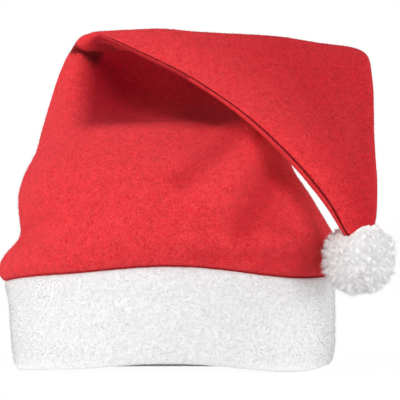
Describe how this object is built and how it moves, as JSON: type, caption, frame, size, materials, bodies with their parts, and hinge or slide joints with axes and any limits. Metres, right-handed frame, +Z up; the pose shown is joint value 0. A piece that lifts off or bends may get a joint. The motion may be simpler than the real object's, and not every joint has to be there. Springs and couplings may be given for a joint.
{
  "type": "santa hat",
  "caption": "Felt cone hat with a white cuff band, its top folded over and hanging at one side, with a fleece pompom on the end.",
  "frame": {"origin": "middle of the bounding box at the height of the rim's lowest land, on which the hat stands", "axes": "+X towards the side where the tail hangs, +Y to the back, +Z up; the front is -Y"},
  "size_m": [0.238, 0.1802, 0.2137],
  "materials": {
    "red_felt": "brushed felt",
    "white_felt": "brushed felt",
    "white_fleece": "long soft pile"
  },
  "bodies": {
    "root": {"crown": "red_felt", "band": "white_felt", "pompom": "white_fleece"}
  },
  "joints": []
}
